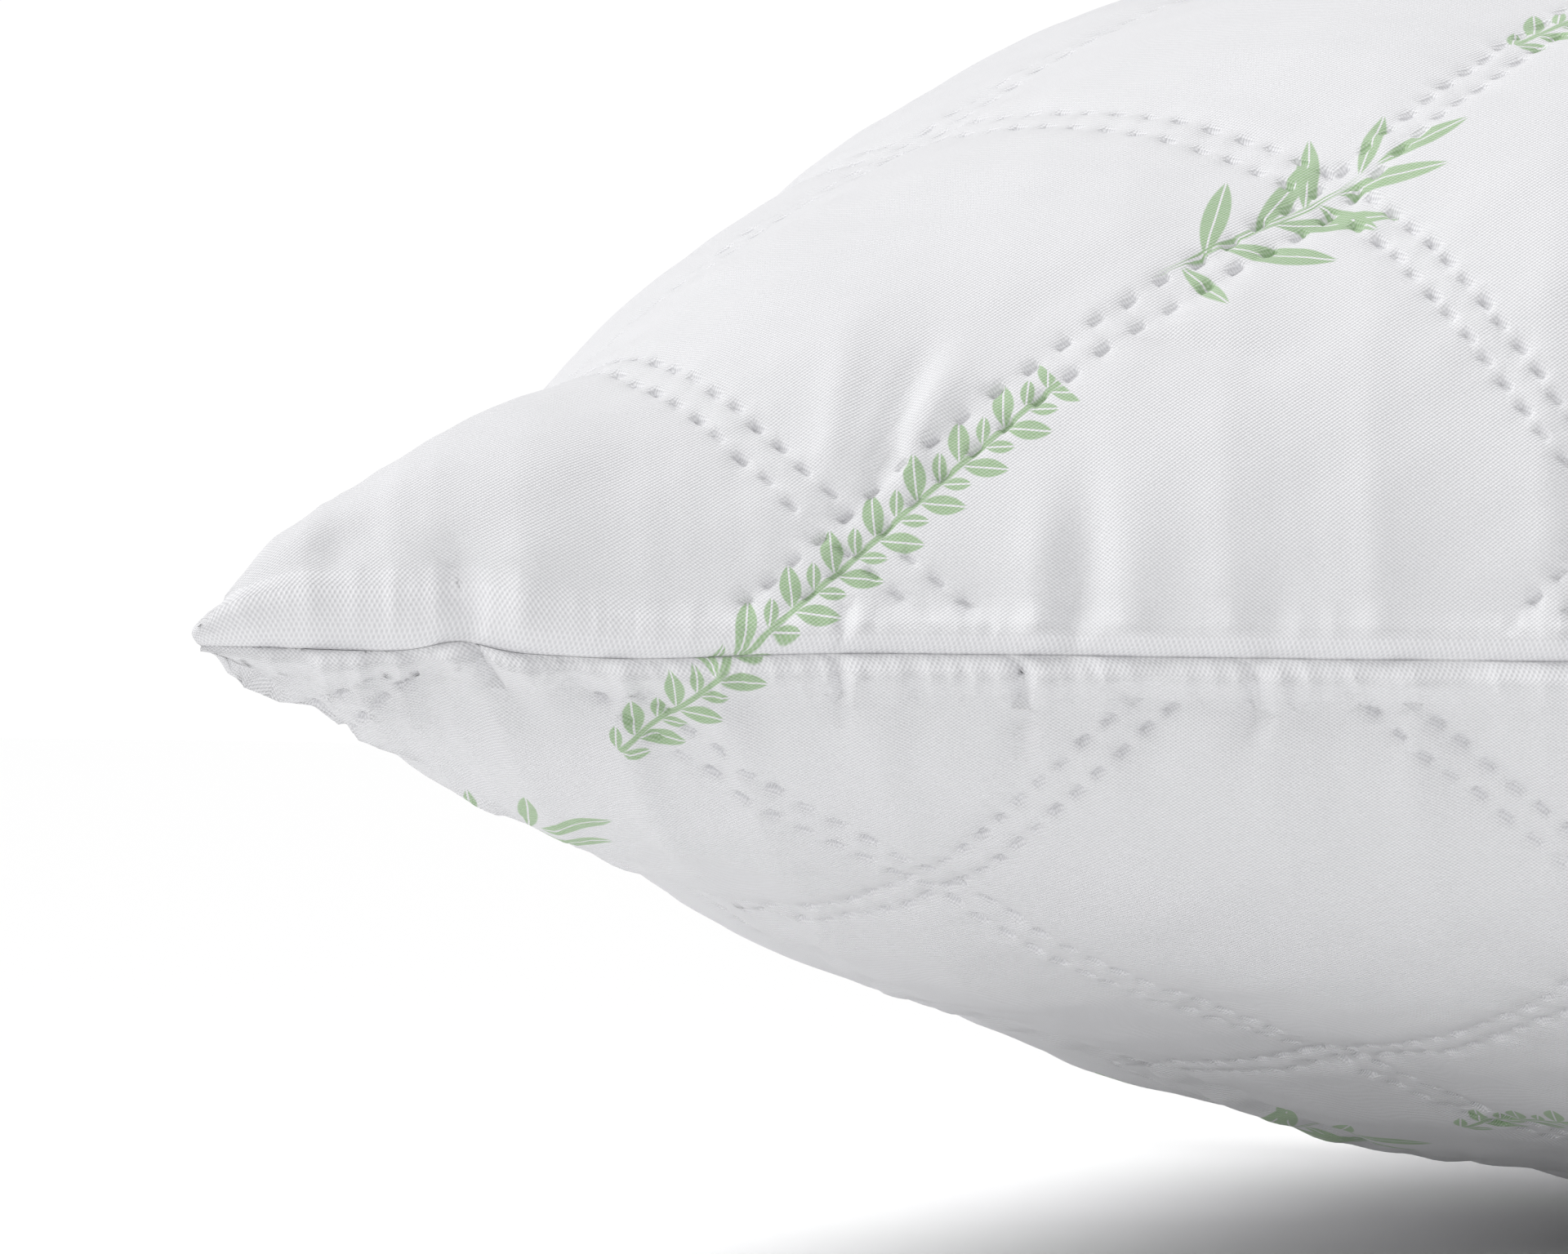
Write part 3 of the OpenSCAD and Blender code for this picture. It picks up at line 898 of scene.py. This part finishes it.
def plain_fibre(name, colour, grain_mm, depth_mm):
    """Undyed polyester fibre, as a cloth, a web or a thread. Dull, soft at the edges and slightly flecked.

    The grain is the size of its threads or tufts, and the depth is how far they stand up.
    """
    material, tree = new_material(name)
    place = add(tree, "TexCoord", out=3)
    fleck = add(tree, "TexNoise", place, inputs={"Scale": 1000 / grain_mm, "Detail": 6.0, "Roughness": 0.7})
    light = paint(colour)
    shade = [0.82 * c for c in light[:3]] + [1]
    normal = add(tree, "Bump", inputs={"Height": fleck, "Strength": 0.6, "Distance": depth_mm * MM})
    finish_material(tree, mixed(tree, fleck, shade, light), 0.9, normal, sheen=0.2)
    return material


def nickel_plated_zinc():
    """Die-cast zinc, tumbled and nickel plated: a bright grey metal, rubbed duller in small patches."""
    material, tree = new_material("nickel_plated_zinc")
    place = add(tree, "TexCoord", out=3)
    scuff = add(tree, "TexNoise", place, inputs={"Scale": 0.9 / MM, "Detail": 5.0})
    rough = add(tree, "MapRange", scuff, 0.3, 0.7, 0.22, 0.42)
    finish_material(tree, paint("#C9CBCF"), rough, metallic=1.0)
    return material


def extruded_nylon():
    """Nylon filament, extruded and wound into a coil: smooth, with a soft gloss and faint cloudy flecks."""
    material, tree = new_material("extruded_nylon")
    place = add(tree, "TexCoord", out=3)
    fleck = add(tree, "TexNoise", place, inputs={"Scale": 1.5 / MM, "Detail": 3.0})
    finish_material(tree, mixed(tree, fleck, "#DCDCE0", "#EEEEF1"), 0.38, ior=1.53)
    return material


# ---------------------------------------------------------------- the pieces under the panels
def inside(grid, side, depth, edge_cells, skin):
    """The blown panel's grid, a depth in millimetres further in, kept off the seam and under the skin."""
    k = edge_cells
    places = (grid - grid_normals(blurred(grid, 2), side) * depth * MM)[k:-k, k:-k]
    if side < 0:
        places[..., 2] = np.maximum(places[..., 2], depth * MM)
    flat = places.reshape(-1, 3).copy()
    middle = Vector((0, 0, SEAM_Z))
    for n, place in enumerate(flat):
        place = Vector(place)
        # a place that a deep crease leaves outside is drawn back in steps
        for _ in range(10):
            near, way, _, _ = skin.find_nearest(place)
            if (place - near).dot(way) < -0.5 * MM:
                break
            place += (middle - place).normalized() * 1.5 * MM
        flat[n] = place
    return flat.reshape(places.shape)


def closed_piece(name, outer, inner, side=1):
    """A closed body between two grids of places."""
    rows, cols = outer.shape[:2]
    at = np.arange(rows * cols).reshape(rows, cols)
    ring = np.concatenate([at[:-1, 0], at[-1, :-1], at[:0:-1, -1], at[0, :0:-1]])
    quads = np.stack([at[:-1, :-1], at[1:, :-1], at[1:, 1:], at[:-1, 1:]], -1).reshape(-1, 4)
    after, count = np.roll(ring, -1), rows * cols
    rim = np.stack([ring, ring + count, after + count, after], -1)
    faces = np.concatenate([quads, quads[:, ::-1] + count, rim])
    points = np.concatenate([outer.reshape(-1, 3), inner.reshape(-1, 3)])
    return new_piece(name, points.tolist(), (faces if side > 0 else faces[:, ::-1]).tolist())


def coil_half(node, side):
    """Half of a nylon zip coil: a flattened spring whose turns hook between the other half's."""
    low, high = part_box(node)
    pitch, wire, steps = 1.5 * MM, 0.3 * MM, 14
    turns = int((high.y - low.y - 2 * wire) / pitch)
    turn = np.arange(turns * steps + 1) / steps * 2 * math.pi
    far = high.z if side > 0 else low.z
    near = SEAM_Z - side * 0.35 * MM
    mid_x, mid_z = (low.x + high.x) / 2, (far + near) / 2
    wide, tall = (high.x - low.x) / 2 - wire, abs(far - near) / 2 - wire
    along = low.y + wire + turn / (2 * math.pi) * pitch + (pitch / 2 if side < 0 else 0)
    out = np.stack([np.cos(turn), 0 * turn, np.sin(turn) * side], -1)
    path = np.stack([mid_x + wide * out[:, 0], along, mid_z + tall * out[:, 2]], -1)
    ring = np.arange(6) / 6 * 2 * math.pi
    round_wire = np.cos(ring)[:, None] * out[:, None] + np.sin(ring)[:, None] * [0, 1, 0]
    points = path[:, None] + wire * round_wire
    at = np.arange(len(path) * 6).reshape(-1, 6)
    after = np.roll(at, -1, 1)
    faces = np.stack([at[:-1], after[:-1], after[1:], at[1:]], -1).reshape(-1, 4)
    # both ends are closed, and all faces look out of the wire
    way = 1 if side > 0 else -1
    ends = [at[0, ::-way].tolist(), at[-1, ::way].tolist()]
    return new_piece(node + "_turns", points.reshape(-1, 3).tolist(), faces[:, ::way].tolist() + ends)


# ---------------------------------------------------------------- putting it together
def dress(obj, material):
    """Gives a piece its one material."""
    obj.data.materials.clear()
    obj.data.materials.append(material)


def settle(obj, material, node):
    """Gives a piece its material and slot, rests it on the pillow, and hides the CAD node it stands for."""
    dress(obj, material)
    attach(obj, BODY)
    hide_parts(node)


# a carded web: soft, cloudy tufts
wadding = plain_fibre("carded_polyester_wadding", "#F6F6F4", 6, 1)
# filaments bonded by an embossed roller: flat, thin and a little grey
backing = plain_fibre("spunbonded_backing", "#E8E8E8", 2, 0.2)
# a fine knit, unbleached: close loops, slightly warm
liner = plain_fibre("knitted_liner", "#F0F0EC", 1, 0.2)
# crimped staple, blown in loose: big warm tufts
fibre = plain_fibre("loose_polyester_fibre", "#F0ECDF", 12, 3)
# name, slot, material, depth under the panel, thickness and distance from the seam in cells
LAYERS = (
    ("wadding", "wadding", wadding, 4.9, 0.8, 2),
    ("backing", "backing_cloth", backing, 5.9, 0.3, 2),
    ("liner", "liner_cloth", liner, 6.6, 0.4, 5),
)
HEAP_DEPTH, HEAP_EDGE = 7.8, 6  # the filling's, likewise
grids = inflate_case()
heap_faces = []
for panel, grid, other in zip((TOP, BOTTOM), grids, grids[::-1]):
    piece = sewn_panel(panel, grid, other)
    settle(piece, printed_microfibre(panel), panel.name + "_face")
    mesh = piece.data
    skin = BVHTree.FromPolygons([v.co for v in mesh.vertices], [f.vertices for f in mesh.polygons])
    for what, slot, material, depth, thick, edge in LAYERS:
        node = f"liner_{panel.name}" if what == "liner" else f"{panel.name}_{what}"
        outer, inner = (inside(grid, panel.side, d, edge, skin) for d in (depth, depth + thick))
        layer = closed_piece(node + "_cloth", outer, inner, panel.side)
        settle(layer, material, node)
    heap_faces.append(inside(grid, panel.side, HEAP_DEPTH, HEAP_EDGE, skin))

nylon = extruded_nylon()
for node, side in (("zip_coil_top", 1), ("zip_coil_bottom", -1)):
    settle(coil_half(node, side), nylon, node)

heap = closed_piece("fibre_filling", *heap_faces)
settle(heap, fibre, "filling")

# the panels' own cloth, cut and left raw: unprinted, a little frayed
raw_edge = plain_fibre("raw_microfibre_edge", "#EFEFF1", 0.6, 0.1)
# staple spun and twisted: a fine bright cord with a slight fuzz
thread = plain_fibre("spun_polyester_thread", "#F4F4F4", 0.5, 0.2)
# woven as a narrow herringbone: denser and flatter than the case
tape = plain_fibre("woven_zip_tape", "#EEEEF0", 0.8, 0.15)
zinc = nickel_plated_zinc()
# the CAD nodes that stay, by a word in their names
LOOKS = {
    "seam_allowance": raw_edge,
    "thread": thread,
    "zip_tape": tape,
    "zip_stop": zinc,
    "zip_slider": zinc,
    "zip_pull": zinc,
}
for name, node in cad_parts.items():
    for word, material in LOOKS.items():
        if word in name:
            dress(node, material)

# ---------------------------------------------------------------- stage, light and camera
scene = bpy.context.scene
floor = new_piece("studio_floor", [(-6, -6, 0), (6, -6, 0), (6, 6, 0), (-6, 6, 0)], [(0, 1, 2, 3)], False)
# matt white paper off a roll: no gloss at all
paper, tree = new_material("white_backdrop_paper")
finish_material(tree, paint("#FCFCFC"), 0.9)
dress(floor, paper)

# a white surround: softer as light than as it is seen behind the pillow
AS_LIGHT, AS_SEEN = 0.50, 1.02
world = bpy.data.worlds.new("studio")
world.use_nodes = True
tree = world.node_tree
surround = tree.nodes["Background"].inputs
glow = add(tree, "MapRange", add(tree, "LightPath"), 0.0, 1.0, AS_LIGHT, AS_SEEN)
tree.links.new(glow, surround["Strength"])
surround["Color"].default_value = (1, 1, 1, 1)
scene.world = world
scene.view_settings.view_transform = "Standard"


def shine(name, kind, energy, towards, at=(0, 0, 0), **settings):
    """A lamp that sends its light away from `towards`."""
    data = bpy.data.lights.new(name, kind)
    data.energy = energy
    for setting, value in settings.items():
        setattr(data, setting, value)
    lamp = bpy.data.objects.new(name, data)
    lamp.location = at
    lamp.rotation_euler = Vector(towards).to_track_quat("Z", "Y").to_euler()
    scene.collection.objects.link(lamp)


# one very wide, even light from the upper left, so the floor stays white right to its edge
shine("key", "SUN", 2.05, (-0.8, -0.15, 1.3), angle=math.radians(45))
# and a low one in front that reaches in under the overhang
shine("low_front", "AREA", 3, (-0.45, -1.7, 0.26), (-0.7, -1.7, 0.30), shape="DISK", size=1.0)

# the camera stands level with the seam, before the front left corner
CORNER = Vector((-HALF_L, -HALF_W, SEAM_Z))
AZIMUTH, ROLL = math.radians(13.3), math.radians(-0.6)
DISTANCE, VIEW_W = 1.39, 0.192  # metres to the corner, and how much is seen across there
SENSOR = 36
RIGHT = Vector((math.cos(AZIMUTH), math.sin(AZIMUTH), 0))
BACK = Vector((math.sin(AZIMUTH), -math.cos(AZIMUTH), 0))
aim = CORNER + RIGHT * 75.9 * MM + Vector((0, 0, 3.1 * MM))
camera_data = bpy.data.cameras.new("camera")
camera_data.sensor_width = SENSOR
camera_data.lens = SENSOR * DISTANCE / VIEW_W
camera_data.clip_start = 0.01
camera = bpy.data.objects.new("camera", camera_data)
camera.location = aim + BACK * DISTANCE
camera.rotation_mode = "QUATERNION"
level = (-BACK).to_track_quat("-Z", "Y")
camera.rotation_quaternion = level @ Matrix.Rotation(-ROLL, 3, "Z").to_quaternion()
scene.collection.objects.link(camera)
scene.camera = camera
